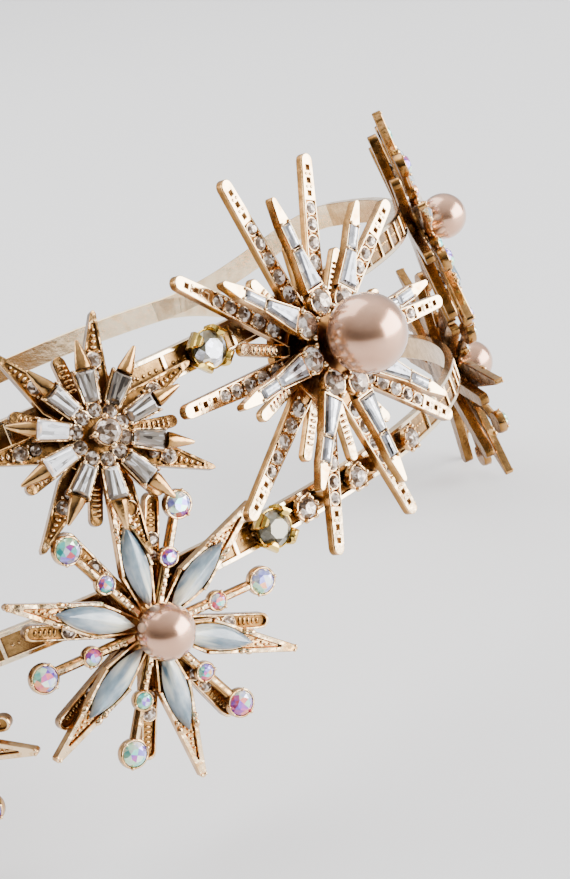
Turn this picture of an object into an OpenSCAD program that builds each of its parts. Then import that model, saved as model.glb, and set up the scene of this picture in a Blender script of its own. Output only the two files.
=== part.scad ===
// Bridal crown: two front strands that run into one back band, carrying six starbursts.
// The crown's own frame: the ring's axis is +Z, the lower strand's middle is at z = 0 and the
// large burst faces -Y. Azimuths are measured from -Y towards +X.

/* [Bands] */
// Radius of the middle of the strips' wall
band_r = 80; // [78:0.5:84]
// Thickness of the strips
band_t = 1.5; // [1.3:0.1:1.6]
// Height of the strips
band_h = 4.4; // [4:0.1:5]
// Height of the upper strand's middle over the lower one's
strand_rise = 27; // [26:0.5:28]
// Azimuth up to which both strands run level
level_az = 72; // [70:1:76]
// Azimuth at which the strands have met
meet_az = 112; // [108:1:116]
// Height of the back band's middle where the strands meet
meet_z = 17; // [16:0.5:18]
// Height of the back band's middle at the very back
back_z = 12; // [11:0.5:13]
// Depth of the recessed panels
panel_depth = 0.4; // [0.2:0.05:0.5]
// Number of panels along each strand
panel_count = 34; // [20:1:40]

/* [Opal stars] */
// Radius to the tips of the V-rays
v_tip_r = 22.3; // [21:0.1:23]
// Radius to the tips of the ridged rays behind them
opal_back_r = 18.4; // [17:0.1:19]
// Diameter of the pearls
opal_pearl_d = 8; // [7:0.1:8.2]
// Length of the navette stones
navette_len = 12; // [11:0.1:12]
// Width of the navette stones
navette_w = 3.6; // [3:0.1:3.6]
// Diameter of the large rainbow stones
rainbow_d = 3.5; // [3:0.1:3.6]
// Radius at which they sit
rainbow_r = 17.2; // [16.5:0.1:17.5]
// Diameter of the small rainbow stones
rainbow_small_d = 2.3; // [2:0.1:2.4]
// Radius at which they sit
rainbow_small_r = 9.9; // [9.5:0.1:10.5]

/* [Baguette star] */
// Radius to the points of the baguette settings
baguette_tip_r = 13.1; // [12.5:0.1:13.5]
// Radius to the tips of the V-rays behind them
baguette_back_r = 17.4; // [16.5:0.1:18.5]
// Radius to the tips of the short ridged rays
baguette_short_r = 12; // [11:0.1:12.5]
// Diameter of the centre crystal
centre_crystal_d = 3.4; // [3:0.1:3.5]

/* [Large burst] */
// Radius to the tips of the bars
bar_tip_r = 29.2; // [28:0.1:30]
// Width of the bars near their tips
bar_w = 2.1; // [1.9:0.1:2.4]
// Radius to the tips of the short ridged rays
bar_short_r = 16.5; // [16:0.1:18]
// Radius to the tips of the upper rays
ray_tip_r = 22.6; // [21.5:0.1:23]
// Diameter of the large pearl
burst_pearl_d = 11.6; // [11:0.1:12]

/* [Crystals on the strands] */
// Diameter of the claw-set crystals
link_d = 5.3; // [5:0.1:5.5]
// Diameter of the small crystals with ball prongs
link_small_d = 3.2; // [3:0.1:3.4]

/* [Hidden] */
$fn = 32;
fit_gap = 0.05;
band_out_r = band_r + band_t / 2;
star_plane_r = band_r + 2;
// Play round a stone in its pocket, and the walls of the cups that hold the round stones
stone_play = 0.08;
cup_wall = 0.4;
small_cup_wall = 0.35;
// Shares of a round stone's width that its table and its lower end take
stone_table = 0.58;
stone_foot = 0.3;

// The crown stands by itself on the tips of two stars and the bottom of its back band: its lean about
// x, its tip about y, and the shift that puts the middle of its footprint at the origin
lean = -16.506;
tip = -0.764;
shift = [-0.95, 3.822, 13.547];

// Columns of the table of stars: azimuth, height, and yaw, pitch and roll of each star's plane
AZ = 0;
HIGH = 1;
YAW = 2;
PITCH = 3;
ROLL = 4;
OPAL_LEFT      = [-28.4, -4.7, 10.3, -1.9, -33.4];
OPAL_RIGHT     = [ 46.9, 23.1, -3.2,  4.2,  44.7];
OPAL_FAR_LEFT  = [-56.1, -6.2,  0.0,  0.0, -18.8];
OPAL_FAR_RIGHT = [ 58.6, -6.0,  0.0,  0.0,   1.0];
BAGUETTE_STAR  = [-26.5, 22.3,  5.3, 10.4, -28.2];
BURST          = [  0.0, 19.1,  0.7, -0.1, -40.6];

// Heights in a star's frame, where 0 is the plane that its centre is placed on
back_floor = -0.9;
back_mid = 0.1;
back_top = 0.7;
front_floor = 1.3;
front_mid = 1.7;
front_top = 2.8;

// Placing

module stand() translate(shift) rotate([lean, 0, 0]) rotate([0, tip, 0]) children();

module on_band(az, z, r) rotate([0, 0, az]) translate([0, -r, z]) rotate([90, 0, 0]) children();

// Local frame: x along the tangent to the right, y up, z outwards
module in_star(star) stand()
    rotate([0, 0, star[AZ]]) translate([0, -star_plane_r, star[HIGH]])
    rotate([0, 0, star[YAW]]) rotate([90 - star[PITCH], 0, 0])
    rotate([0, 0, star[ROLL]]) children();

module around(count, first = 0) for (i = [0 : count - 1])
    rotate([0, 0, first + i * 360 / count]) children();

module slab(low, high) translate([0, 0, low]) linear_extrude(high - low) children();

// Solids from rings of points, listed from the bottom up, each counterclockwise seen from above

module loft(rings) {
    n = len(rings[0]);
    last = len(rings) - 1;
    points = [for (ring = rings) for (p = ring) p];
    sides = [for (k = [0 : last - 1]) for (i = [0 : n - 1]) for (tri = [0, 1])
        let (a = k * n + i, b = k * n + (i + 1) % n)
        tri == 0 ? [a, a + n, b + n] : [a, b + n, b]];
    floor_face = [for (i = [0 : n - 1]) i];
    top_face = [for (i = [n - 1 : -1 : 0]) last * n + i];
    polyhedron(points, concat(sides, [floor_face, top_face]), convexity = 4);
}

function scaled(outline, k, z) = [for (p = outline) [p[0] * k, p[1] * k, z]];

// Round stone with a table and eight facets above its girdle and eight below
module round_stone(d, girdle_z, crown, pavilion, sides = 8) {
    outline = [for (i = [0 : sides - 1]) d / 2 * [cos(360 / sides * i), sin(360 / sides * i)]];
    translate([0, 0, girdle_z]) loft([scaled(outline, stone_foot, -pavilion), scaled(outline, 1, 0),
                                      scaled(outline, stone_table, crown)]);
}

// Boat-shaped stone with its centre at the origin, pointed at both ends along x
module navette_stone(length, width, low_z, girdle_z, table_z) {
    arc_r = (pow(length / 2, 2) + pow(width / 2, 2)) / width;
    function half_w(x) = sqrt(arc_r * arc_r - x * x) - arc_r + width / 2;
    xs = length / 2 * [-0.97, -0.68, -0.34, 0, 0.34, 0.68, 0.97];
    outline = concat([for (x = xs) [x, -half_w(x)]], [for (i = [6 : -1 : 0]) [xs[i], half_w(xs[i])]]);
    loft([scaled(outline, 0.55, low_z), scaled(outline, 1, girdle_z), scaled(outline, 0.6, table_z)]);
}

// Step-cut stone from x = from to x = to, with its half-widths at both ends
module baguette_stone(from, to, half_from, half_to, low_z, girdle_z, table_z) {
    middle = (from + to) / 2;
    function ring(inset, z) = [
        [from + inset, -half_from + inset, z], [to - inset, -half_to + inset, z],
        [to - inset, half_to - inset, z], [from + inset, half_from - inset, z]];
    step = min(half_from, half_to) * 0.3;
    loft([ring(1.6 * step, low_z), ring(0, girdle_z), ring(0.8 * step, (girdle_z + table_z) / 2 + 0.1),
          ring(2 * step, table_z)]);
}

// Flat outlines of rays that point along x

module round_ended(from, to, half_from, half_to) {
    polygon([[from, -half_from], [to - half_to, -half_to], [to - half_to, half_to], [from, half_from]]);
    translate([to - half_to, 0]) circle(half_to);
}

module ribs(from, to, half_w, count, width)
    for (i = [0 : count - 1]) translate([from + (to - from) * i / (count - 1) - width / 2, -half_w])
        square([width, 2 * half_w]);

// Outline with the points of one side, from the inner end to the tip, and the same ones mirrored
module mirrored_outline(side)
    polygon(concat([for (p = side) [p[0], -p[1]]], [for (i = [len(side) - 1 : -1 : 0]) side[i]]));

// Bands

panel_rim = 0.7;
divider_w = 0.7;
divider_proud = 0.2;
// Degrees of azimuth from a strand's end to its first divider
divider_start = 0.4;

module strip_profile(z, channel) difference() {
    translate([band_r - band_t / 2, z - band_h / 2]) square([band_t, band_h]);
    if (channel) translate([band_out_r - panel_depth, z - band_h / 2 + panel_rim])
        square([band_t, band_h - 2 * panel_rim]);
}

module strand(z) color("#c98f6b") stand() {
    rotate([0, 0, -90 - level_az]) rotate_extrude(angle = 2 * level_az, $fn = 180)
        strip_profile(z, true);
    first = level_az - divider_start;
    for (i = [0 : panel_count]) rotate([0, 0, (2 * i / panel_count - 1) * first])
        translate([-divider_w / 2, -band_out_r + 0.02, z - band_h / 2 + panel_rim / 2])
        cube([divider_w, panel_depth + divider_proud, band_h - panel_rim]);
}

module upper_strand() strand(strand_rise);

module lower_strand() strand(0);

function ease(t) = t * t * (3 - 2 * t);

// Height of the merged band's middle behind the meeting point
function back_height(az) = back_z + (meet_z - back_z) * pow(sin((180 - az) * 90 / (180 - meet_az)), 1.3);

// Height of a strand's middle between the level stretch and the meeting point
function closing_height(az, level_z) =
    let (t = (az - level_az) / (meet_az - level_az)) level_z + (meet_z - level_z) * ease(t);

function strip_section(az, z) = let (out = [sin(az), -cos(az)], a = band_r - band_t / 2, b = band_out_r)
    [[b * out[0], b * out[1], z - band_h / 2], [a * out[0], a * out[1], z - band_h / 2],
     [a * out[0], a * out[1], z + band_h / 2], [b * out[0], b * out[1], z + band_h / 2]];

module back_band() color("#c98f6b") stand() {
    step = 4;
    closing = [for (az = [level_az : step : meet_az]) az];
    opening = [for (i = [len(closing) - 1 : -1 : 0]) closing[i]];
    behind = [for (az = [meet_az + step : step : 360 - meet_az - step]) az];
    loft(concat([for (az = closing) strip_section(az, closing_height(az, strand_rise))],
                [for (az = behind) strip_section(az, back_height(min(az, 360 - az)))],
                [for (az = opening) strip_section(360 - az, closing_height(az, strand_rise))]));
    loft([for (az = closing) strip_section(az, closing_height(az, 0))]);
    loft([for (az = opening) strip_section(360 - az, closing_height(az, 0))]);
}

post_d = 2.4;
post_reach = 4;
// How far the seats reach below and above a strand
seat_below = 0.2;
seat_above = 1.4;

// A star's back with posts from post_top that reach the strands, cut to seat on the strands' outer
// face. The posts' places are x along the tangent and y up.
module seated(star, places, post_top) {
    difference() {
        union() {
            children();
            rotate([0, 0, -star[ROLL]]) for (place = places)
                translate([place[0], place[1], back_floor - post_reach])
                cylinder(d = post_d, h = post_top - back_floor + post_reach);
        }
        rotate([0, 0, -star[ROLL]]) rotate([star[PITCH] - 90, 0, 0]) rotate([0, 0, -star[YAW]])
            for (z = [0, strand_rise])
            translate([0, star_plane_r, z - star[HIGH] - band_h / 2 - seat_below])
            cylinder(r = band_out_r + fit_gap, h = band_h + seat_below + seat_above, $fn = 180);
    }
}

// Height over a star's centre of the strand that is nearest to it
function strand_over(star) = star[HIGH] > strand_rise / 2 ? strand_rise - star[HIGH] : -star[HIGH];

// Opal star

opal_back_turn = 100.2;
opal_hub_r = 5;
opal_back_root = 1.35;
opal_back_end = 1.1;
opal_pave_r = 12;
opal_pave_d = 1.9;

module opal_back_rays() around(8, opal_back_turn)
    round_ended(3, opal_back_r, opal_back_root, opal_back_end);

module opal_back(star) color("#b97f55") in_star(star)
    seated(star, [[0, strand_over(star)]], back_floor + 0.2) {
    slab(back_floor, back_mid) {
        circle(opal_hub_r);
        opal_back_rays();
    }
    slab(back_mid, back_top) difference() {
        union() {
            circle(opal_hub_r - 0.4);
            opal_back_rays();
        }
        around(8, opal_back_turn) {
            translate([opal_pave_r, 0]) circle(opal_pave_d / 2 + 0.05);
            ribs(13.8, 16, 0.7, 4, 0.35);
        }
    }
}

v_wall_r = 8.5;
v_wall_half = 2.5;
v_tip_half = 0.4;
rainbow_stem_half = 0.75;

function v_side(grow) = [[v_wall_r, v_wall_half + grow], [v_tip_r - 0.3, v_tip_half + grow],
                         [v_tip_r + grow, 0.01]];

module opal_v_outline(grow) mirrored_outline(concat([[2, 0.8 + grow]], v_side(grow)));

// Hollow of a V-ray: it follows the navette, then narrows to the solid tip
V_HOLLOW = [[8, 2.05], [10.2, 1.88], [11.8, 1.56], [13.5, 1.08], [v_tip_r - 2.7, 0.12]];

module rainbow_cups() {
    translate([rainbow_r, 0]) circle(rainbow_d / 2 + cup_wall);
    translate([rainbow_small_r, 0]) circle(rainbow_small_d / 2 + small_cup_wall);
}

module opal_front(star) color("#dca17d") in_star(star) {
    slab(front_floor, front_mid) {
        circle(3.6);
        around(6) opal_v_outline(0);
        around(6, 30) {
            translate([2, -rainbow_stem_half]) square([rainbow_r - 2, 2 * rainbow_stem_half]);
            rainbow_cups();
        }
    }
    slab(front_mid, front_top) around(6) difference() {
        mirrored_outline(v_side(0));
        mirrored_outline(V_HOLLOW);
    }
    slab(front_mid, front_top - 0.5) around(6) ribs(15.8, 18.6, 0.9, 3, 0.5);
    slab(front_mid, front_top - 0.1) around(6, 30) difference() {
        union() {
            translate([3.2, -0.6]) square([rainbow_r - 3.2, 1.2]);
            rainbow_cups();
        }
        translate([rainbow_r, 0]) circle(rainbow_d / 2 + stone_play);
        translate([rainbow_small_r, 0]) circle(rainbow_small_d / 2 + stone_play);
    }
    slab(back_top + fit_gap, front_floor) circle(3);
}

module opal_pearl(star) color("#d9b9a6") in_star(star)
    translate([0, 0, opal_pearl_d / 2 + front_mid + 0.1]) sphere(d = opal_pearl_d);

navette_r = 9.2;

module opal_navettes(star) color("#b4c2cc") in_star(star) around(6)
    translate([navette_r, 0, 0]) navette_stone(navette_len, navette_w, front_mid + 0.1, 2.7, 3.6);

module opal_rainbow(star) color("#9fc7c2") in_star(star) around(6, 30) {
    translate([rainbow_r, 0, 0]) round_stone(rainbow_d, 2.8, 0.8, 0.95);
    translate([rainbow_small_r, 0, 0]) round_stone(rainbow_small_d, 2.75, 0.55, 0.85);
}

module opal_pave(star) color("#d8d2cc") in_star(star) around(8, opal_back_turn)
    translate([opal_pave_r, 0, 0]) round_stone(opal_pave_d, back_top, 0.4, 0.5);

// Baguette star

baguette_back_turn = 93.6;
baguette_inner = 4.5;
baguette_outer = 8.8;
baguette_floor = 2.55;
baguette_wall = 0.3;
baguette_half = [0.96, 1.36];
baguette_hub_r = 5;
baguette_pave_r = 10.6;
baguette_pave_d = 2;
inner_stone_r = 3.4;
inner_stone_d = 1.9;
cup_rise = 3.8;
cup_deep = 0.8;

module baguette_long_rays() around(7, baguette_back_turn)
    mirrored_outline([[3, 1.2], [7.5, 2.1], [baguette_back_r - 0.4, 0.4], [baguette_back_r, 0.01]]);

module baguette_short_rays() around(7, baguette_back_turn + 180 / 7)
    round_ended(3, baguette_short_r, 1, 0.9);

// Room round the opal star's ray and cup where they cross this star's back
crossing_gap = 0.35;

module baguette_star_back() color("#b97f55") difference() {
    in_star(BAGUETTE_STAR) seated(BAGUETTE_STAR, [[0, strand_over(BAGUETTE_STAR)]], back_floor + 0.2)
        baguette_back_layers();
    in_star(OPAL_LEFT) slab(front_floor - crossing_gap, front_top + 1) {
        rotate([0, 0, 120]) opal_v_outline(crossing_gap);
        rotate([0, 0, 150]) translate([rainbow_r, 0]) circle(rainbow_d / 2 + cup_wall + crossing_gap);
    }
}

module baguette_back_layers() {
    slab(back_floor, back_mid) {
        circle(baguette_hub_r);
        baguette_long_rays();
        baguette_short_rays();
    }
    slab(back_mid, back_top) difference() {
        union() {
            circle(baguette_hub_r);
            baguette_long_rays();
            baguette_short_rays();
        }
        around(7, baguette_back_turn) {
            translate([baguette_pave_r, 0]) circle(baguette_pave_d / 2 + 0.1);
            channel_outline(11.8, 15.6, 0.95, 0.2);
        }
        around(7, baguette_back_turn + 180 / 7) ribs(8.6, 10.8, 0.6, 4, 0.3);
    }
}

// Outline of a channel from its inner to its outer end, with the half-widths there
module channel_outline(from, to, half_from, half_to)
    polygon([[from, -half_from], [to, -half_to], [to, half_to], [from, half_from]]);

module baguette_star_front() color("#dca17d") in_star(BAGUETTE_STAR) {
    floor_z = baguette_floor;
    inside_z = floor_z + 0.3;
    cup_z = floor_z + cup_rise;
    cup_r = centre_crystal_d / 2 + 0.25;
    end_r = baguette_outer + 0.4;
    pocket = baguette_half + [0.05, 0.07];
    slab(floor_z, inside_z) {
        circle(inner_stone_r + inner_stone_d / 2);
        around(10) channel_outline(1.5, end_r, 0.6, 1.65);
    }
    slab(inside_z, floor_z + 1.2) difference() {
        around(10) channel_outline(baguette_inner - 0.1, end_r, pocket[0] + baguette_wall,
                                   pocket[1] + baguette_wall);
        around(10) channel_outline(baguette_inner - 0.2, baguette_outer + 0.1, pocket[0], pocket[1]);
    }
    around(10) translate([end_r - 0.1, 0, floor_z + 1.1]) rotate([0, 90, 0])
        cylinder(r1 = 0.95, r2 = 0.2, h = baguette_tip_r - end_r + 0.1);
    slab(back_top + fit_gap, floor_z) circle(2.6);
    slab(floor_z, cup_z) circle(1.6);
    slab(cup_z - 0.6, cup_z) circle(cup_r);
    slab(cup_z, cup_z + cup_deep) difference() {
        circle(cup_r);
        circle(centre_crystal_d / 2 + stone_play);
    }
    around(4, 20) translate([centre_crystal_d / 2 + 0.45, 0, cup_z - 0.6]) cylinder(r = 0.37, h = 1.9);
}

module baguette_star_crystal() color("#e4e6e8") in_star(BAGUETTE_STAR)
    round_stone(centre_crystal_d, baguette_floor + cup_rise + cup_deep + 0.1, 0.85, 0.8);

module baguette_star_baguettes() color("#cfd6db") in_star(BAGUETTE_STAR) around(10)
    translate([0, 0, baguette_floor])
    baguette_stone(baguette_inner, baguette_outer, baguette_half[0], baguette_half[1], 0.4, 1.3, 2.1);

module baguette_star_round_stones() color("#d8d2cc") in_star(BAGUETTE_STAR) around(10)
    translate([inner_stone_r, 0, 0]) round_stone(inner_stone_d, baguette_floor + 1, 0.4, 0.6);

// The ray that the opal star's ray crosses carries no stone
baguette_crossed_ray = 4;

module baguette_star_pave() color("#d8d2cc") in_star(BAGUETTE_STAR) for (k = [0 : 6])
    if (k != baguette_crossed_ray) rotate([0, 0, baguette_back_turn + k * 360 / 7])
    translate([baguette_pave_r, 0, 0]) round_stone(baguette_pave_d, back_top, 0.4, 0.5);

// Large burst

// Columns of the table of stones along a bar: distance from the centre and diameter
BAR_STONES = [[21.1, 1.9], [18.7, 2.1], [16, 2.3], [13.1, 2.45], [10.1, 2.6]];
BAR_HOLES = [27.1, 25.2, 23.3];
hole_w = 0.8;
bar_floor = 0.4;
bar_seat = 0.7;
bar_top = 1.7;
bar_widening = 0.7;

module burst_outline() {
    around(10) round_ended(3, bar_tip_r, bar_w / 2 + bar_widening, bar_w / 2);
    around(10, 18) round_ended(3, bar_short_r, 1, 0.9);
}

module burst_holes() around(10) for (r = BAR_HOLES) translate([r, 0]) square(hole_w, center = true);

BURST_POSTS = concat([[0, strand_over(BURST)]],
    [for (a = [BURST[ROLL] - 36, BURST[ROLL] - 72]) [-BURST[HIGH] / tan(a), -BURST[HIGH]]]);

module burst_bars() color("#d9a481") in_star(BURST) seated(BURST, BURST_POSTS, bar_floor + 0.1) {
    slab(back_floor, bar_seat) circle(9);
    slab(bar_floor, bar_seat) difference() {
        burst_outline();
        burst_holes();
    }
    slab(bar_seat, bar_top) difference() {
        union() {
            circle(7);
            burst_outline();
        }
        burst_holes();
        around(10) for (s = BAR_STONES) translate([s[0], 0]) circle(s[1] / 2);
        around(10, 18) ribs(12.4, 15, 0.6, 5, 0.3);
    }
}

module burst_pave() color("#d8d2cc") in_star(BURST) around(10) for (s = BAR_STONES)
    translate([s[0], 0, 0]) round_stone(s[1] - 0.1, bar_top - 0.1, 0.5, 0.8);

// The upper star sits on its own, a little above the bars' centre and tipped up
upper_lift = 1.2;
upper_rise = 0.8;
upper_tip = 4;

module in_upper_star() in_star(BURST)
    rotate([0, 0, -BURST[ROLL]]) translate([0, upper_rise, upper_lift])
    rotate([-upper_tip, 0, 0]) rotate([0, 0, BURST[ROLL]]) children();

burst_ray_turn = 43.6;
ray_floor = 3;
ray_inside = 3.4;
ray_top = 4.5;
ray_girdle = 4.4;
burst_seat = 3.9;
ray_stone_r = 6.4;
ray_stone_d = 3.7;
// Along a ray: the tapered baguette, the small baguette, and where the tip starts
long_baguette = [8.75, 14.35];
long_half = [1.5, 0.78];
small_baguette = [14.85, 18.35];
small_half = 0.78;
ray_shoulder = 18.5;
ray_half = 1.1;

// Outline of a ray from the given points outwards
module ray_outline(from) mirrored_outline(concat(from, [[long_baguette[1] + 0.25, ray_half],
    [ray_shoulder, ray_half], [ray_tip_r - 0.3, 0.5], [ray_tip_r, 0.01]]));

module burst_rays() color("#dca17d") {
    in_star(BURST) slab(bar_top + fit_gap, ray_inside + upper_lift - 0.2) circle(4.5);
    in_upper_star() {
        slab(ray_floor, ray_inside) {
            circle(5.5);
            around(8, burst_ray_turn) ray_outline([[4, 1.3], [8.6, 1.9]]);
            around(8, burst_ray_turn) translate([ray_stone_r, 0])
                circle(ray_stone_d / 2 + small_cup_wall);
        }
        slab(ray_inside, ray_top) around(8, burst_ray_turn) difference() {
            ray_outline([[8.3, 1.9]]);
            channel_outline(long_baguette[0] - 0.1, long_baguette[1] + 0.1, long_half[0] + stone_play,
                            long_half[1] + stone_play);
            channel_outline(small_baguette[0] - 0.1, small_baguette[1] + 0.1, small_half + stone_play,
                            small_half + stone_play);
        }
        slab(ray_inside, ray_top) around(8, burst_ray_turn) translate([ray_stone_r, 0]) difference() {
            circle(ray_stone_d / 2 + small_cup_wall);
            circle(ray_stone_d / 2 + stone_play);
        }
        slab(ray_floor, burst_seat) circle(2.6);
    }
}

module burst_pearl() color("#d9b9a6") in_upper_star()
    translate([0, 0, burst_pearl_d / 2 + burst_seat + 0.1]) sphere(d = burst_pearl_d, $fn = 48);

module burst_baguettes() color("#cfd6db") in_upper_star() around(8, burst_ray_turn) {
    baguette_stone(long_baguette[0], long_baguette[1], long_half[0], long_half[1],
                   ray_inside + 0.1, ray_girdle, ray_girdle + 0.7);
    baguette_stone(small_baguette[0], small_baguette[1], small_half, small_half,
                   ray_inside + 0.1, ray_girdle, ray_girdle + 0.6);
}

module burst_round_stones() color("#e4e6e8") in_upper_star() around(8, burst_ray_turn)
    translate([ray_stone_r, 0, 0]) round_stone(ray_stone_d, ray_girdle, 0.75, 0.85);

// Crystals on the strands

LINK_UPPER_AZ = -12.6;
LINK_LOWER_AZ = -13;
LINK_SMALL_AZ = [-8.2, -0.5, 10];

link_foot_h = 0.9;
link_cone_h = 1.5;
claw_w = 1.4;
claw_h = 1.9;

module link_setting(az, z) color("#b8892f") stand() on_band(az, z, band_out_r + fit_gap) {
    cylinder(d = link_d - 0.9, h = link_foot_h);
    difference() {
        translate([0, 0, link_foot_h]) cylinder(d1 = link_d - 0.9, d2 = link_d + 0.5, h = link_cone_h);
        translate([0, 0, link_foot_h + 0.1])
            cylinder(d1 = link_d - 1.5, d2 = link_d + 0.2, h = link_cone_h);
    }
    around(4, 45) translate([link_d / 2 + 0.05, -claw_w / 2, link_foot_h + 1])
        cube([0.5, claw_w, claw_h]);
}

module link_crystal(az, z) color("#d9d8cc") stand() on_band(az, z, band_out_r + fit_gap)
    round_stone(link_d, link_foot_h + link_cone_h + 0.1, 1.1, 1.35);

module link_setting_upper() link_setting(LINK_UPPER_AZ, strand_rise);

module link_crystal_upper() link_crystal(LINK_UPPER_AZ, strand_rise);

module link_setting_lower() link_setting(LINK_LOWER_AZ, 0);

module link_crystal_lower() link_crystal(LINK_LOWER_AZ, 0);

small_cup_h = 1.6;
small_ball_r = 0.34;

module link_small_settings() color("#dca17d") stand() for (az = LINK_SMALL_AZ)
    on_band(az, 0, band_out_r + fit_gap) {
        difference() {
            cylinder(d = link_small_d + 2 * small_cup_wall, h = small_cup_h);
            translate([0, 0, 0.5]) cylinder(d = link_small_d + 2 * stone_play, h = small_cup_h);
        }
        around(6) translate([link_small_d / 2 + small_cup_wall, 0, small_cup_h]) sphere(small_ball_r);
    }

module link_small_crystals() color("#e4e6e8") stand() for (az = LINK_SMALL_AZ)
    on_band(az, 0, band_out_r + fit_gap) round_stone(link_small_d, small_cup_h - 0.1, 0.8, 0.85);

upper_strand();
lower_strand();
back_band();
opal_back(OPAL_LEFT);  // opal_left_back
opal_front(OPAL_LEFT);  // opal_left_front
opal_pearl(OPAL_LEFT);  // opal_left_pearl
opal_navettes(OPAL_LEFT);  // opal_left_navettes
opal_rainbow(OPAL_LEFT);  // opal_left_rainbow
opal_pave(OPAL_LEFT);  // opal_left_pave
opal_back(OPAL_RIGHT);  // opal_right_back
opal_front(OPAL_RIGHT);  // opal_right_front
opal_pearl(OPAL_RIGHT);  // opal_right_pearl
opal_navettes(OPAL_RIGHT);  // opal_right_navettes
opal_rainbow(OPAL_RIGHT);  // opal_right_rainbow
opal_pave(OPAL_RIGHT);  // opal_right_pave
opal_back(OPAL_FAR_LEFT);  // opal_far_left_back
opal_front(OPAL_FAR_LEFT);  // opal_far_left_front
opal_pearl(OPAL_FAR_LEFT);  // opal_far_left_pearl
opal_navettes(OPAL_FAR_LEFT);  // opal_far_left_navettes
opal_rainbow(OPAL_FAR_LEFT);  // opal_far_left_rainbow
opal_pave(OPAL_FAR_LEFT);  // opal_far_left_pave
opal_back(OPAL_FAR_RIGHT);  // opal_far_right_back
opal_front(OPAL_FAR_RIGHT);  // opal_far_right_front
opal_pearl(OPAL_FAR_RIGHT);  // opal_far_right_pearl
opal_navettes(OPAL_FAR_RIGHT);  // opal_far_right_navettes
opal_rainbow(OPAL_FAR_RIGHT);  // opal_far_right_rainbow
opal_pave(OPAL_FAR_RIGHT);  // opal_far_right_pave
baguette_star_back();
baguette_star_front();
baguette_star_crystal();
baguette_star_baguettes();
baguette_star_round_stones();
baguette_star_pave();
burst_bars();
burst_rays();
burst_pearl();
burst_pave();
burst_baguettes();
burst_round_stones();
link_setting_upper();
link_crystal_upper();
link_setting_lower();
link_crystal_lower();
link_small_settings();
link_small_crystals();
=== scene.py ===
import math
import random

import bmesh
import bpy
from mathutils import Matrix, Vector
from mathutils.geometry import tessellate_polygon


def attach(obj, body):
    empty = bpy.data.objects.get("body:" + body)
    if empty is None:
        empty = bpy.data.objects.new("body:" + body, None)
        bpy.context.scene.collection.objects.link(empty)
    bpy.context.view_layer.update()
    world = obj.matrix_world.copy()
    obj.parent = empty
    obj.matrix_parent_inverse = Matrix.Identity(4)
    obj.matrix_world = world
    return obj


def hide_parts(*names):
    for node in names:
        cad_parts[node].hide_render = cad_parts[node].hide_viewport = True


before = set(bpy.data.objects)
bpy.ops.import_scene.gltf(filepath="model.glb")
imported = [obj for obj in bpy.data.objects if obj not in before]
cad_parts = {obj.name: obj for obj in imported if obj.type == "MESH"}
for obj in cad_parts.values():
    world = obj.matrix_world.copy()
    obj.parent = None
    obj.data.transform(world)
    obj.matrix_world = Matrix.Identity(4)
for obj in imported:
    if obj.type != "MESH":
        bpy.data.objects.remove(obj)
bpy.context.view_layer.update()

# The crown's stance and the camera. The crown leans back on the tips of two stars and the bottom
# of its back band. The camera looks at its left front from a little above. Sizes are in mm.

lean_back = -16.506
lean_aside = -0.764
shift = (-0.95, 3.822, 13.547)
fit_turn = -28.4
fitted_camera = Matrix(((0.88231, 0.39188, -0.26070, -44.919),
                        (-0.31794, 0.08781, -0.94404, -344.518),
                        (-0.34706, 0.91581, 0.20207, 67.656),
                        (0, 0, 0, 1)))
focal_pixels = 2000
picture_height_pixels = 879
sensor = 36
metres = 0.001


def turned(degrees, axis):
    return Matrix.Rotation(math.radians(degrees), 4, axis)


stance = Matrix.Translation(shift) @ turned(lean_back, "X") @ turned(lean_aside, "Y")
seen_from = stance @ turned(fit_turn, "Z") @ fitted_camera
to_right = seen_from.col[0].to_3d()
to_top = seen_from.col[1].to_3d()
to_lens = seen_from.col[2].to_3d()

lens = bpy.data.cameras.new("camera")
lens.lens = sensor * focal_pixels / picture_height_pixels
lens.clip_start = 0.01
lens.clip_end = 20
camera = bpy.data.objects.new("camera", lens)
bpy.context.collection.objects.link(camera)
camera.location = seen_from.translation * metres
camera.rotation_mode = "QUATERNION"
camera.rotation_quaternion = seen_from.to_quaternion()
bpy.context.scene.camera = camera

# The studio: a pale painted table that the crown stands on, a large window at the right, a broad
# light overhead, a small one at the left, and a pale room with one dark side.

table_r = 4
table_sides = 64
room_strength = 1.12
front_middle = Vector((-30, -60, 40))
# Columns: name, place from the middle of the crown's front, width and height in m, power in W
LAMPS = (("window_light", to_right * 1500 + to_lens * 270 + to_top * 270, (1.95, 1.86), 145),
         ("top_light", Vector((60, 420, 620)), (0.7, 0.7), 5),
         ("left_light", to_right * -520 - to_lens * 60 + to_top * 60, (0.16, 0.3), 1.0))


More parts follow.
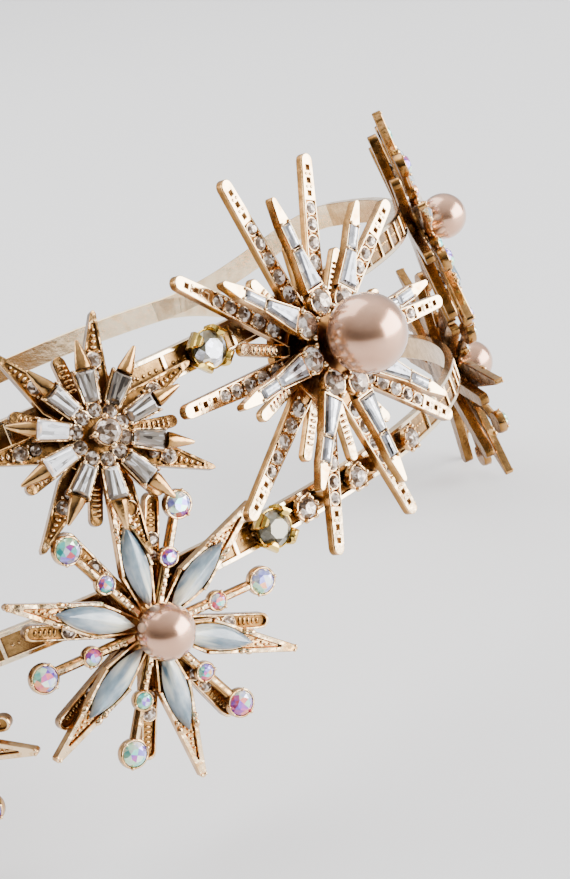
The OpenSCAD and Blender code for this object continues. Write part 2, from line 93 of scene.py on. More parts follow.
class Shade:
    """One socket of a material. Sums, differences and products of it add Math nodes."""

    def __init__(self, tree, socket=None):
        self.tree = tree
        self.socket = socket

    def put(self, target, value):
        if isinstance(value, Shade):
            self.tree.links.new(value.socket, target)
        else:
            target.default_value = value

    def node(self, kind, sockets=(), out=0, stops=(), **settings):
        made = self.tree.nodes.new("ShaderNode" + kind)
        for name, value in settings.items():
            setattr(made, name, value)
        for at, (place, colour) in enumerate(stops):
            ramp = made.color_ramp.elements
            stop = ramp[at] if at < len(ramp) else ramp.new(place)
            stop.position = place
            stop.color = (*colour, 1)
        for name, value in dict(sockets).items():
            self.put(made.inputs[name], value)
        return Shade(self.tree, made.outputs[out])

    def math(self, operation, first, second):
        return self.node("Math", {0: first, 1: second}, operation=operation)

    def __add__(self, other):
        return self.math("ADD", self, other)

    def __radd__(self, other):
        return self.math("ADD", other, self)

    def __sub__(self, other):
        return self.math("SUBTRACT", self, other)

    def __rsub__(self, other):
        return self.math("SUBTRACT", other, self)

    def __mul__(self, other):
        return self.math("MULTIPLY", self, other)

    def __rmul__(self, other):
        return self.math("MULTIPLY", other, self)

    def ramp(self, *stops):
        return self.node("ValToRGB", {0: self}, stops=stops)

    def blend(self, low, high):
        """From the colour low at 0 to the colour high at 1"""
        return self.node("Mix", {0: self, 6: low, 7: high}, 2, data_type="RGBA")

    def noise(self, scale, detail=2, roughness=0.5):
        where = self.node("TexCoord", out=3)
        return self.node("TexNoise", {"Vector": where, "Scale": scale, "Detail": detail,
                                      "Roughness": roughness})

    def bumped(self, height, depth, strength):
        return self.node("Bump", {"Height": height, "Distance": depth, "Strength": strength})


def new_finish(name, **fixed):
    """A material with its constant sockets set, and the wrapped tree to build the rest with"""
    material = bpy.data.materials.new(name)
    material.use_nodes = True
    shader = material.node_tree.nodes["Principled BSDF"]
    for socket, value in fixed.items():
        shader.inputs[socket.replace("_", " ")].default_value = value
    return material, Shade(material.node_tree), shader


table_paint, shade, shader = new_finish("pale_table_paint", Roughness=0.55)
cloudy = shade.noise(3.0, 3)
shade.put(shader.inputs["Base Color"],
          cloudy.blend((0.86, 0.86, 0.87, 1), (0.91, 0.91, 0.915, 1)))
shade.put(shader.inputs["Normal"], shade.bumped(shade.noise(400), 0.0002, 0.1))

table_mesh = bpy.data.meshes.new("table_top")
table_shape = bmesh.new()
bmesh.ops.create_circle(table_shape, cap_ends=True, radius=table_r, segments=table_sides)
table_shape.to_mesh(table_mesh)
table_shape.free()
table_mesh.materials.append(table_paint)
table_top = bpy.data.objects.new("table_top", table_mesh)
bpy.context.collection.objects.link(table_top)

room = bpy.data.worlds.new("room")
room.use_nodes = True
bpy.context.scene.world = room
shade = Shade(room.node_tree)
heading = shade.node("TexCoord")
near_dark_side = shade.node("VectorMath", {0: heading, 1: to_lens}, 1, operation="DOT_PRODUCT")
upwards = shade.node("SeparateXYZ", {0: heading}, 2)
walls = near_dark_side.ramp((0.0, (0.64, 0.64, 0.65)), (0.28, (0.32, 0.31, 0.30)),
                            (0.55, (0.10, 0.085, 0.07)), (0.85, (0.02, 0.014, 0.01)))
ceiling = upwards.ramp((0.32, (0, 0, 0)), (0.95, (0.80, 0.80, 0.81)))
shade.put(room.node_tree.nodes["Background"].inputs["Color"],
          shade.node("VectorMath", {0: walls, 1: ceiling}, operation="ADD"))
room.node_tree.nodes["Background"].inputs["Strength"].default_value = room_strength

for name, where, size, power in LAMPS:
    light = bpy.data.lights.new(name, "AREA")
    light.shape = "RECTANGLE"
    light.size, light.size_y = size
    light.energy = power
    lamp = bpy.data.objects.new(name, light)
    bpy.context.collection.objects.link(lamp)
    lamp.location = (front_middle + where) * metres
    lamp.rotation_mode = "QUATERNION"
    lamp.rotation_quaternion = (-where).to_track_quat("-Z", "Y")
    lamp.visible_camera = False

# The two front strands and the back band: strips of rose gold plated metal on edge, bent to a
# circle. The strands carry raised rims and small crossbars that divide recessed panels, darkened
# with patina and painted shade.
# Azimuths run from the middle of the front, in degrees; heights are above the lower strand.

band_out_r = 80.75
band_in_r = 79.25
half_band = 2.2
rim_from = 1.5
panel_depth = 0.4
panel_floor = -0.42
strand_rise = 27
level_az = 72
meet_az = 112
meet_z = 17
back_z = 12
crossbars = 35
first_bar = 0.4
first_panel = 2.5
bar_half = 0.35
bar_reach = 1.8
sharp_from = 34
luck = random.Random(11)


class Work:
    """The solids of one piece in mm. Each corner has a brightness for its metal, from 0 in a hollow
    to 1 on a raised top: partly real rubbing and patina, partly painted shade in hollows and
    painted highlight on tops. Each corner also has its place in the uncut stone or casting; each
    face has a facet value."""

    solid_spacing = 31

    def __init__(self):
        self.points = []
        self.faces = []
        self.wear_and_light = []
        self.facet = []
        self.grain = []
        self.solids = 0
        self.at = Matrix()

    def add(self, points, faces, wear_and_light, facets=None):
        first = len(self.points)
        self.points += [self.at @ Vector(p) for p in points]
        aside = self.solid_spacing * self.solids
        self.grain += [v for x, y, z in points for v in (x + aside, y, z)]
        self.solids += 1
        self.faces += [[first + i for i in face] for face in faces]
        self.wear_and_light += wear_and_light
        self.facet += facets or [0.5] * len(faces)

    def loft(self, rings, wear_and_light):
        """A skin over rings of corners, closed at both ends, with one brightness value for each
        ring
        """
        n = len(rings[0])
        faces = bands(n, len(rings))
        faces += [list(range(n))[::-1], list(range((len(rings) - 1) * n, len(rings) * n))]
        self.add([p for ring in rings for p in ring], faces, [w for w in wear_and_light for _ in range(n)])

    def plate(self, outline, low, high, edge, wear_and_light, holes=()):
        """A flat plate with its edges broken, and holes through it. Its brightness is a pair: one
        for its back and sides, one for its top, so the sides carry painted shade and the top a
        painted highlight as well as rubbing."""
        points, walls, bottoms, tops, tone = [], [], [], [], []
        dark, bright = wear_and_light
        for loop, way in [(outline, 1)] + [(hole, -1) for hole in holes]:
            drawn = inset(loop, edge * way)
            n = len(loop)
            first = len(points)
            points += [(*p, low) for p in drawn] + [(*p, low + edge) for p in loop]
            points += [(*p, high - edge) for p in loop] + [(*p, high) for p in drawn]
            tone += [dark] * 2 * n + [dark * 0.3 + bright * 0.6] * n + [bright] * n
            walls += bands(n, 4, first)
            bottoms += [first + i for i in range(n)]
            tops += [first + 3 * n + i for i in range(n)]
        loops = []
        for loop in [outline, *holes]:
            start = sum(len(done) for done in loops)
            loops.append([Vector(points[tops[start + i]]) for i in range(len(loop))])
        cut = tessellate_polygon(loops)
        caps = [[side[i] for i in tri] for side in (tops, bottoms) for tri in cut]
        self.add(points, walls + caps, tone)

    def lathe(self, profile, wear_and_light, sides=20, centre=(0, 0, 0), tilt=Matrix()):
        """A turned form: profile holds (radius, height) from the bottom up"""
        kept = self.at
        self.at = kept @ Matrix.Translation(centre) @ tilt
        turns = [math.tau * i / sides for i in range(sides)]
        rings = [[(r * math.cos(turn), r * math.sin(turn), z) for turn in turns]
                 for r, z in profile]
        self.loft(rings, wear_and_light)
        self.at = kept

    def bead(self, centre, rx, ry=None, rz=None, wear_and_light=0.95, sides=10):
        """A small cast ball or grain, painted brightest on top and darker underneath, for the light
        and shade that fall on it
        """
        x, y, z = centre
        ry, rz = ry or rx, rz or rx
        turns = [math.tau * i / sides for i in range(sides)]
        # Columns: angle from the bottom, part of the brightness, low for painted shade underneath
        levels = ((0.25, 0.4), (0.7, 0.5), (1.2, 0.7), (1.7, 0.9), (2.2, 1), (2.65, 1), (2.95, 1))
        rings = [[(x + rx * math.sin(a) * math.cos(turn), y + ry * math.sin(a) * math.sin(turn),
                   z - rz * math.cos(a)) for turn in turns] for a, _ in levels]
        self.loft(rings, [wear_and_light * part for _, part in levels])


def bands(n, rings, first=0):
    """The faces between rings of n corners each"""
    return [[first + k * n + i, first + k * n + (i + 1) % n,
             first + (k + 1) * n + (i + 1) % n, first + (k + 1) * n + i]
            for k in range(rings - 1) for i in range(n)]


def inset(outline, depth):
    """The outline moved inwards by depth"""
    moved = []
    for i, here in enumerate(outline):
        before, after = Vector(outline[i - 1]), Vector(outline[(i + 1) % len(outline)])
        here = Vector(here)
        a, b = (here - before).normalized(), (after - here).normalized()
        left, right = Vector((-a.y, a.x)), Vector((-b.y, b.x))
        moved.append(here + (left + right) * (depth / max(0.6, 1 + left.dot(right))))
    return [tuple(p) for p in moved]


def flipped(points):
    """The points mirrored in the x axis, in the opposite order"""
    return [(x, -y) for x, y in points[::-1]]


def mirrored(half):
    """A whole outline from the half of it above the x axis"""
    return flipped(half) + half


def make_piece(name, work, place, finish, slot, *nodes, flat=False):
    """One object from the work's solids, in its place, standing for its CAD nodes"""
    mesh = bpy.data.meshes.new(name)
    mesh.from_pydata([(place @ p) * metres for p in work.points], [], work.faces)
    mesh.attributes.new("wear_and_light", "FLOAT", "POINT").data.foreach_set("value", work.wear_and_light)
    mesh.attributes.new("facet", "FLOAT", "FACE").data.foreach_set("value", work.facet)
    mesh.attributes.new("grain", "FLOAT_VECTOR", "POINT").data.foreach_set("vector", work.grain)
    shape = bmesh.new()
    shape.from_mesh(mesh)
    bmesh.ops.recalc_face_normals(shape, faces=shape.faces)
    shape.to_mesh(mesh)
    shape.free()
    mesh.polygons.foreach_set("use_smooth", [not flat] * len(mesh.polygons))
    if not flat:
        mesh.set_sharp_from_angle(angle=math.radians(sharp_from))
    mesh.materials.append(finish)
    made = bpy.data.objects.new(name, mesh)
    bpy.context.collection.objects.link(made)
    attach(made, "root")
    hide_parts(*nodes)
    return made


def plated_finish(name, ramp, fine, waves):
    """Plated cast metal: bright on raised tops and brown in its hollows, partly real rubbing and
    patina, partly painted highlight and painted shade. Its skin has soft casting waves and fine
    pits."""
    material, shade, shader = new_finish(name, Metallic=1.0)
    rubbing_and_light = shade.node("Attribute", out=2, attribute_name="wear_and_light")
    cloud = shade.noise(520.0, 3, 0.6)
    tone = rubbing_and_light + (cloud - 0.5) * 0.7
    shade.put(shader.inputs["Base Color"], tone.ramp(*ramp))
    shade.put(shader.inputs["Roughness"], 0.32 - tone * 0.18)
    skin = shade.noise(430.0, 2) * waves + shade.noise(fine, 3, 0.6) * 0.07
    shade.put(shader.inputs["Normal"], shade.bumped(skin, 0.0006, 0.5))
    return material


# From a hollow to a raised top: dark patina with painted shade, up to rubbed metal with painted
# highlight
band_ramp = ((0.0, (0.08, 0.032, 0.008)), (0.4, (0.44, 0.25, 0.09)),
             (0.75, (0.80, 0.55, 0.29)), (1.0, (0.97, 0.78, 0.53)))
band_metal = plated_finish("strip_plating", band_ramp, 1500.0, 0.15)


def strip_profile(depth, edge=0.1, slope=0.02):
    """The strip cut across, as (radius, height), with its outer face sunk between the rims"""
    return [(band_in_r, -half_band + edge), (band_in_r + edge, -half_band),
            (band_out_r - edge, -half_band), (band_out_r, -half_band + edge),
            (band_out_r, -rim_from - edge), (band_out_r - edge, -rim_from),
            (band_out_r - depth, -rim_from + slope), (band_out_r - depth, rim_from - slope),
            (band_out_r - edge, rim_from), (band_out_r, rim_from + edge),
            (band_out_r, half_band - edge), (band_out_r - edge, half_band),
            (band_in_r + edge, half_band), (band_in_r, half_band - edge)]


rimmed = strip_profile(panel_depth)
plain = strip_profile(0.06)
# Bright rims round a dark sunk panel: patina and painted shade in the recess
rim_wear_and_shade = [0.5, 0.8, 0.8, 1, 1, 0.7, 0.28, 0.28, 0.7, 1, 1, 0.8, 0.8, 0.5]
plain_wear = [0.95, 1, 1, 1, 1, 1, 1, 1, 1, 1, 1, 1, 1, 0.95]


def sweep(work, stations, profile, tone):
    """A strip through (azimuth, height) stations, with one brightness value for each corner of its
    profile
    """
    before = len(work.points)
    rings = []
    for az, height in stations:
        out = (math.sin(math.radians(az)), -math.cos(math.radians(az)))
        rings.append([(r * out[0], r * out[1], height + z) for r, z in profile])
    work.loft(rings, [0] * len(rings))
    work.wear_and_light[before:] = tone * len(rings)


def on_strand(az, height):
    """The frame of something soldered to a strand's outer face, z outwards"""
    return turned(az, "Z") @ Matrix.Translation((0, -band_out_r, height)) @ turned(90, "X")


for name, height in (("upper", strand_rise), ("lower", 0)):
    strand = Work()
    sweep(strand, [(az, height) for az in range(-level_az, level_az + 1)], rimmed, rim_wear_and_shade)
    for i in range(crossbars):
        step_az = i * (2 * level_az - 2 * first_bar) / (crossbars - 1)
        strand.at = on_strand(-level_az + first_bar + step_az, height)
        strand.plate(mirrored([(bar_half, bar_reach), (-bar_half, bar_reach)]), -0.5, 0.0, 0.12,
                     (0.2, 0.95))
        if i < crossbars - 1:
            strand.at = on_strand(-level_az + first_panel + step_az, height)
            for x in (-1.5, -0.5, 0.5, 1.5):
                strand.bead((x, 0, panel_floor), 0.34, 0.34, 0.16, 0.45, 8)
    make_piece(name + "_strand_strip", strand, stance, band_metal, "band_metal", name + "_strand")

back_strip = Work()
closing = [(az, (az - level_az) / (meet_az - level_az)) for az in range(level_az, meet_az + 1)]
for level in (strand_rise, 0):
    path = [(az, level + (meet_z - level) * t * t * (3 - 2 * t)) for az, t in closing]
    sweep(back_strip, path, plain, plain_wear)
    sweep(back_strip, [(-az, height) for az, height in path[::-1]], plain, plain_wear)
rear = []
for az in range(meet_az, 361 - meet_az):
    quarter_turn = (180 - min(az, 360 - az)) * 90 / (180 - meet_az)
    dip = math.sin(math.radians(quarter_turn)) ** 1.3
    rear.append((az, back_z + (meet_z - back_z) * dip))
sweep(back_strip, rear, plain, plain_wear)
make_piece("back_band_strip", back_strip, stance, band_metal, "band_metal", "back_band")

# The backs of the four opal stars: eight ridged rays with rounded tips, cast in one with a hub.
# Each ray has thin raised rims, five ribs near its tip and collars for two clear stones. A post
# behind each star reaches the nearest strand.

star_plane_r = 82
# Columns: azimuth, height, yaw, pitch, roll
OPAL_STARS = {"opal_left": (-28.4, -4.7, 10.3, -1.9, -33.4),
              "opal_right": (46.9, 23.1, -3.2, 4.2, 44.7),
              "opal_far_left": (-56.1, -6.2, 0, 0, -18.8),
              "opal_far_right": (58.6, -6.0, 0, 0, 1)}
# Columns: distance from the centre, diameter, girdle, crown, pavilion
OPAL_BACK_STONES = ((12, 1.9, 0.7, 0.4, 0.5), (9.7, 1.7, 0.68, 0.36, 0.45))
opal_back_rays = 8
opal_back_turn = 100.2
opal_back_tip = 18.4
casting_back = -0.9
post_r = 1.2
post_end = -1.8
# From a hollow to a raised top: dark patina with painted shade, up to rubbed metal with painted
# highlight
rose_ramp = ((0.0, (0.06, 0.024, 0.005)), (0.50, (0.34, 0.17, 0.05)),
             (0.92, (0.72, 0.42, 0.17)), (1.0, (0.94, 0.68, 0.40)))
rose_gold = plated_finish("rose_gold_plating", rose_ramp, 1300.0, 0.65)


def star_place(az, high, yaw, pitch, roll):
    """The frame of a star: x and y in its plane, z outwards from the crown"""
    return (stance @ turned(az, "Z") @ Matrix.Translation((0, -star_plane_r, high))
            @ turned(yaw, "Z") @ turned(90 - pitch, "X") @ turned(roll, "Z"))


def round_ended(start, tip, half_start, half_tip):
    """A ray's outline along x, with a rounded tip"""
    arc = [(tip - half_tip + half_tip * math.sin(a), half_tip * math.cos(a))
           for a in (1.35, 0.95, 0.5, 0)]
    return mirrored(arc + [(start, half_start)])


def posts(work, roll, places, top=-0.7):
    """Posts behind a star, at places measured level with the strands"""
    work.at = turned(-roll, "Z")
    for x, y in places:
        work.lathe([(post_r, post_end), (post_r, top)], [0.2, 0.3], 16, (x, y, 0))
    work.at = Matrix()


def stone_collar(work, x, radius, low, high):
    """A raised ring round a stone"""
    work.lathe([(radius + 0.22, low), (radius + 0.22, high - 0.1), (radius + 0.14, high),
                (radius + 0.04, high), (radius - 0.06, high - 0.12), (radius - 0.06, low)],
               [0.2, 0.7, 1, 1, 0.5, 0.1], 20, (x, 0, 0))


for name, star in OPAL_STARS.items():
    _, high, _, _, roll = star
    nearest_strand = strand_rise if high > strand_rise / 2 else 0
    rays = Work()
    posts(rays, roll, [(0, nearest_strand - high)])
    rays.lathe([(4.6, casting_back), (5, -0.8), (5, 0), (4.5, 0.6), (4.3, 0.7), (0.5, 0.7)],
               [0.3, 0.4, 0.5, 0.6, 0.6, 0.5], 40)
    outline = round_ended(3, opal_back_tip, 1.35, 1.1)
    hollow = inset(round_ended(5, opal_back_tip - 0.2, 1.3, 1.05), 0.3)
    for ray in range(opal_back_rays):
        rays.at = turned(opal_back_turn + 360 / opal_back_rays * ray, "Z")
        rays.plate(outline, casting_back, 0.25, 0.1, (0.25, 0.35))
        rays.plate(outline, 0.05, 0.75, 0.1, (0.3, 1.0), [hollow])
        for rib in range(5):
            rays.bead((13.9 + 0.7 * rib, 0, 0.26), 0.3, 0.66 - 0.05 * rib, 0.15, 0.6, 8)
        for x, d, *_ in OPAL_BACK_STONES:
            stone_collar(rays, x, d / 2, 0.2, 0.72)
            for side in (-1, 1):
                rays.bead((x - d / 2 - 0.2, 0.62 * side, 0.72), 0.2)
    make_piece(name + "_back_rays", rays, star_place(*star), rose_gold, "rose_gold",
               name + "_back")

# The fronts of the opal stars: six V-shaped rays whose raised walls hold navette stones, and six
# stems between them with round cups, all cast in one with a hub behind the pearl. The walls end
# in small blobs of metal, and grains lie in the hollow between them.

opal_front_rays = 6
opal_front_step = 60
opal_front_tip = 22.3
opal_front_back = 1.3
opal_wall_top = 2.8
# Columns: distance from the centre, diameter, girdle, crown, pavilion, cup's top, prong angles
RAINBOW_STONES = ((17.2, 3.5, 2.8, 0.8, 0.9, 2.85, (0, 125, 235)),
                  (9.9, 2.3, 2.75, 0.55, 0.8, 2.8, (55, 180, 305)))
# Columns: distance from the centre, distance from the ray's axis, size
OPAL_GRAINS = ((14.3, 0.45, 0.3), (14.5, -0.4, 0.26), (15.1, 0.05, 0.3), (15.7, 0.4, 0.22),
               (15.9, -0.25, 0.3), (16.6, 0.12, 0.26), (17.2, -0.1, 0.22), (17.9, 0.05, 0.2))


def setting_cup(work, x, stone_r, low, high, prongs):
    """A round cup for a stone, with a thin rim and with ball prongs at some angles"""
    work.lathe([(stone_r + 0.2, low), (stone_r + 0.38, low + 0.5), (stone_r + 0.34, high - 0.14),
                (stone_r + 0.2, high - 0.02), (stone_r + 0.08, high - 0.02),
                (stone_r + 0.02, high - 0.15), (stone_r - 0.25, low + 0.7)],
               [0.3, 0.5, 0.7, 1, 0.9, 0.6, 0.15], 24, (x, 0, 0))
    prong_r = stone_r + 0.22
    for angle in prongs:
        a = math.radians(angle)
        work.bead((x + prong_r * math.cos(a), prong_r * math.sin(a), high), 0.28, wear_and_light=1.0)


for name, star in OPAL_STARS.items():
    rays = Work()
    rays.lathe([(3, 0.5), (3, 1.3), (3.6, 1.35), (3.6, 1.75), (2.2, 2.2), (1, 2.3)],
               [0.2, 0.3, 0.5, 0.5, 0.5, 0.4], 32)
    floor = mirrored([(opal_front_tip, 0.1), (22, 0.4), (8.5, 2.5), (2, 0.8)])
    rim = [(opal_front_tip, 0.2), (22, 0.48), (8.5, 2.5)]
    hollow = [(8.5, 2.0), (10.2, 1.86), (11.8, 1.54), (13.5, 1.06), (19.6, 0.1)]
    inner_wall = [(3.1, 0.85), (8.5, 2.02), (8.5, 2.45), (3, 1.15)]
    filler = mirrored([(19.4, 0.12), (13.7, 1.0)])
    for ray in range(opal_front_rays):
        rays.at = turned(opal_front_step * ray, "Z")
        rays.plate(floor, opal_front_back, 1.75, 0.1, (0.25, 0.3))
        rays.plate(mirrored(rim) + hollow + flipped(hollow), 1.4, opal_wall_top, 0.09, (0.6, 1.0))
        for side in (-1, 1):
            rays.plate(flipped(inner_wall) if side < 0 else inner_wall, 1.4, 2.3, 0.07, (0.3, 0.9))
            rays.bead((14.6, 1.35 * side, opal_wall_top - 0.05), 0.68, 0.46, 0.5, 1.0)
            rays.bead((13.5, 1.5 * side, opal_wall_top), 0.5, 0.38, 0.55, 1.0)
            rays.bead((21.9, 0.3 * side, opal_wall_top - 0.05), 0.27, wear_and_light=1.0)
        rays.plate(filler, 1.6, 2.3, 0.08, (0.4, 0.85))
        for x, y, r in OPAL_GRAINS:
            rays.bead((x, y, 2.4), r * 1.1, r, 0.26, 1.0, 8)
        rays.at = turned(opal_front_step * (ray + 0.5), "Z")
        rays.plate(mirrored([(15.4, 0.66), (2, 0.72)]), opal_front_back, 2.2, 0.16, (0.25, 0.7))
        rays.plate(mirrored([(15.6, 0.42), (3.2, 0.46)]), 2.0, 2.68, 0.2, (0.6, 1.0))
        for grain in range(3):
            rays.bead((4.9 + 1.2 * grain, 0.1 - 0.1 * grain, 2.6), 0.45, 0.5, 0.3, 1.0, 8)
        for x, d, *_, cup_top, prongs in RAINBOW_STONES:
            setting_cup(rays, x, d / 2, opal_front_back, cup_top, prongs)
    make_piece(name + "_front_rays", rays, star_place(*star), rose_gold, "rose_gold",
               name + "_front")

# The pearls: champagne rose imitation pearls, 8 mm on the opal stars and 11.6 mm on the burst,
# glued over a peg. The lacquer is smooth and reflects the room softly under a thin clear coat.

opal_pearl_r = 4.0
opal_pearl_z = 5.8
pearl_lacquer, shade, shader = new_finish("pearl_lacquer", Metallic=0.82, Coat_Weight=1.0,
                                          Coat_Roughness=0.1)
swirl = shade.noise(240.0, 3, 0.55)
shade.put(shader.inputs["Base Color"], swirl.blend((0.54, 0.27, 0.155, 1), (0.80, 0.48, 0.32, 1)))
shade.put(shader.inputs["Roughness"], 0.19 + swirl * 0.07)
shade.put(shader.inputs["Normal"], shade.bumped(swirl, 0.00003, 0.25))


def pearl(name, radius, centre_z, place, node):
    """A turned ball with a slight dimple where it sits on its peg"""
    ball = Work()
    steps = 40
    profile = [(radius * math.sin(math.pi * k / steps),
                centre_z - radius * math.cos(math.pi * k / steps)) for k in range(3, steps)]
    dimple = (0.5, profile[0][1] + 0.15)
    ball.lathe([dimple] + profile, [1.0] * (len(profile) + 1), 64)
    made = make_piece(name, ball, place, pearl_lacquer, "pearl", node)
    made.data.set_sharp_from_angle(angle=math.radians(80))


for name, star in OPAL_STARS.items():
    pearl(name + "_round_pearl", opal_pearl_r, opal_pearl_z, star_place(*star), name + "_pearl")

# The navette stones of the opal stars: moulded opal glass, pointed at both ends, with a table
# and facets. Milky blue grey with cream streaks where light gathers in the glass.

navette_length = 12
navette_width = 3.6
navette_middle = 9.2
navette_low = 1.8
navette_girdle = 2.7
navette_top = 3.7
opal_glass, shade, shader = new_finish("opal_glass", Coat_Weight=1.0, Coat_Roughness=0.10,
                                       Coat_IOR=1.6, Subsurface_Weight=0.15,
                                       Subsurface_Scale=0.001)


def inside_stone(shade, stretch):
    """Places inside the uncut stones, in mm, stretched along each stone's own axes"""
    place = shade.node("Attribute", out=1, attribute_name="grain")
    return shade.node("VectorMath", {0: place, 1: stretch}, operation="MULTIPLY")


cloud = shade.node("TexNoise", {"Vector": inside_stone(shade, (0.22, 0.5, 0.4)),
                                "Scale": 1.0, "Detail": 3})
streak = shade.node("TexNoise", {"Vector": inside_stone(shade, (0.16, 1.3, 0.5)),
                                 "Scale": 1.0, "Detail": 2})
glow = shade.node("Attribute", out=2, attribute_name="wear_and_light")
milk = cloud + (streak - 0.5) * 0.14 + (glow - 0.5) * 0.2
blue = milk.ramp((0.32, (0.10, 0.16, 0.21)), (0.45, (0.20, 0.27, 0.32)),
                 (0.57, (0.34, 0.41, 0.45)), (0.72, (0.60, 0.65, 0.67)))
cream = (glow * glow * (streak * 4.0 - 1.2)).ramp((0.25, (0, 0, 0)), (1.0, (0.9, 0.9, 0.9)))
shade.put(shader.inputs["Base Color"], cream.blend(blue, (0.84, 0.81, 0.64, 1)))
shade.put(shader.inputs["Roughness"], 0.14 + cloud * 0.14)
shade.put(shader.inputs["Normal"], shade.bumped(streak, 0.00006, 0.25))


def navette(work, length, width, low, girdle, top):
    """A boat-shaped stone along x. Its brightness value holds the glow, which is strongest at the
    inner end.
    """
    arc_r = ((length / 2) ** 2 + (width / 2) ** 2) / width
    along = [part * length / 2
             for part in (0.985, 0.86, 0.66, 0.42, 0.15, -0.15, -0.42, -0.66, -0.86, -0.985)]
    ring = mirrored([(x, math.sqrt(arc_r ** 2 - x ** 2) - arc_r + width / 2) for x in along])
    n = len(ring)
    rise = top - girdle
    # Columns: part of the length, part of the width, height
    levels = ((0.55, 0.5, low), (0.99, 0.98, girdle - 0.12), (1, 1, girdle),
              (0.97, 0.88, girdle + rise * 0.34), (0.90, 0.66, girdle + rise * 0.68),
              (0.80, 0.36, girdle + rise * 0.94), (0.66, 0.12, top))
    last = (len(levels) - 1) * n
    table = [[last + i, last + i + 1, last + n - 2 - i, last + n - 1 - i]
             for i in range(n // 2 - 1)]
    glow = [min(1, max(0, 0.55 - x / length)) for x, _ in ring] * len(levels)
    work.add([(x * kx, y * ky, z) for kx, ky, z in levels for x, y in ring],
             bands(n, len(levels)) + [list(range(n))[::-1]] + table, glow)


for name, star in OPAL_STARS.items():
    stones = Work()
    for ray in range(opal_front_rays):
        stones.at = (turned(opal_front_step * ray, "Z")
                     @ Matrix.Translation((navette_middle, 0, 0)))
        navette(stones, navette_length, navette_width, navette_low, navette_girdle, navette_top)
    make_piece(name + "_opal_stones", stones, star_place(*star), opal_glass, "opal_glass",
               name + "_navettes")

# The rainbow stones at the stems' ends: round cut glass with a foil back and an iridescent
# coating, so each facet shows another colour: teal, violet, pale green, rose or orange.

rainbow_glass, shade, shader = new_finish("rainbow_glass", Metallic=0.55, Coat_Weight=1.0,
                                          Coat_Roughness=0.02, Roughness=0.08)
facet = shade.node("Attribute", out=2, attribute_name="facet")
hue = facet * 0.8 + shade.noise(700.0, 1) * 0.3
shade.put(shader.inputs["Base Color"],
          hue.ramp((0.08, (0.03, 0.30, 0.36)), (0.24, (0.10, 0.66, 0.62)),
                   (0.38, (0.55, 0.90, 0.58)), (0.48, (0.90, 0.94, 0.90)),
                   (0.60, (0.36, 0.40, 0.95)), (0.74, (0.20, 0.06, 0.55)),
                   (0.85, (0.80, 0.12, 0.18)), (0.97, (0.98, 0.50, 0.16))))


def brilliant(work, d, x, girdle, crown, pavilion, patches=8, table=None):
    """A round stone: a table over star, kite and girdle facets, and a pavilion. The table is
    drawn in wedges for the painted reflections of the foil behind it, bright and dark sectors; the
    value table gives all of them one painted brightness."""

    def ring(scale, height, count, phase):
        turns = [math.tau * (i + phase) / count for i in range(count)]
        return [(x + scale * d / 2 * math.cos(turn), scale * d / 2 * math.sin(turn), height)
                for turn in turns]

    # Corners: table 0 to 7, crown 8 to 15, girdle 16 to 31, pavilion 32 to 39, table's middle 40
    points = (ring(0.56, girdle + crown, 8, 0) + ring(0.82, girdle + crown * 0.6, 8, 0.5)
              + ring(1, girdle, 16, 0) + ring(0.3, girdle - pavilion, 8, 0)
              + [(x, 0, girdle + crown)])
    faces = []
    facets = []
    inner = [luck.random() for _ in range(patches)]
    outer = [luck.random() for _ in range(patches)]
    for i in range(8):
        j = (i + 1) % 8
        star, last_star = 8 + i, 8 + (i - 1) % 8
        belt = [16 + (2 * i + k) % 16 for k in range(3)]
        faces += [[40, i, j], [i, star, j], [i, last_star, belt[0], star],
                  [star, belt[0], belt[1]], [star, belt[1], belt[2]],
                  [32 + i, 32 + j, belt[2], belt[1], belt[0]]]
        patch = i * patches // 8
        facets += [table or inner[patch]]
        facets += [outer[patch] * 0.8 + 0.2 * luck.random() for _ in range(5)]
    faces.append(list(range(39, 31, -1)))
    work.add(points, faces, [0.5] * len(points), facets + [0.5])


for name, star in OPAL_STARS.items():
    stones = Work()
    for ray in range(opal_front_rays):
        stones.at = turned(opal_front_step * (ray + 0.5), "Z")
        for x, d, girdle, crown, pavilion, *_ in RAINBOW_STONES:
            brilliant(stones, d, x, girdle, crown, pavilion, 4)
    make_piece(name + "_rainbow_stones", stones, star_place(*star), rainbow_glass,
               "rainbow_glass", name + "_rainbow", flat=True)

# The small clear stones in the opal stars' back rays: two to a ray, foil-backed cut glass, with
# painted grey brown reflections of the metal round them.


def foiled_glass(name, dark, mid, bright, metal, cells, stretch=(1, 1, 1), painted_glint=1.0):
    """Clear cut glass over foil, with its reflections painted on: facets are painted bright or
    dark, broken up by the facets behind, and the brightest glow with a painted glint
    """
    material, shade, shader = new_finish(name, Metallic=metal, Coat_Weight=0.55,
                                         Coat_Roughness=0.02, Roughness=0.08,
                                         Emission_Strength=painted_glint)
    facet = shade.node("Attribute", out=2, attribute_name="facet")
    behind = shade.node("TexVoronoi", {"Vector": inside_stone(shade, stretch), "Scale": cells}, 1,
                        distance="MANHATTAN")
    painted_reflection = facet * 0.8 + behind * 0.4
    shade.put(shader.inputs["Base Color"],
              painted_reflection.ramp((0.22, dark), (0.44, mid), (0.62, mid), (0.84, bright)))
    # A painted glint: the brightest painted facets glow
    shade.put(shader.inputs["Emission Color"],
              painted_reflection.ramp((0.76, (0, 0, 0)), (0.95, (0.9, 0.9, 0.93))))
    return material


clear_stone = foiled_glass("clear_foiled_glass", (0.05, 0.03, 0.018), (0.2, 0.135, 0.09),
                           (0.60, 0.50, 0.42), 0.45, 2.6, painted_glint=0.45)

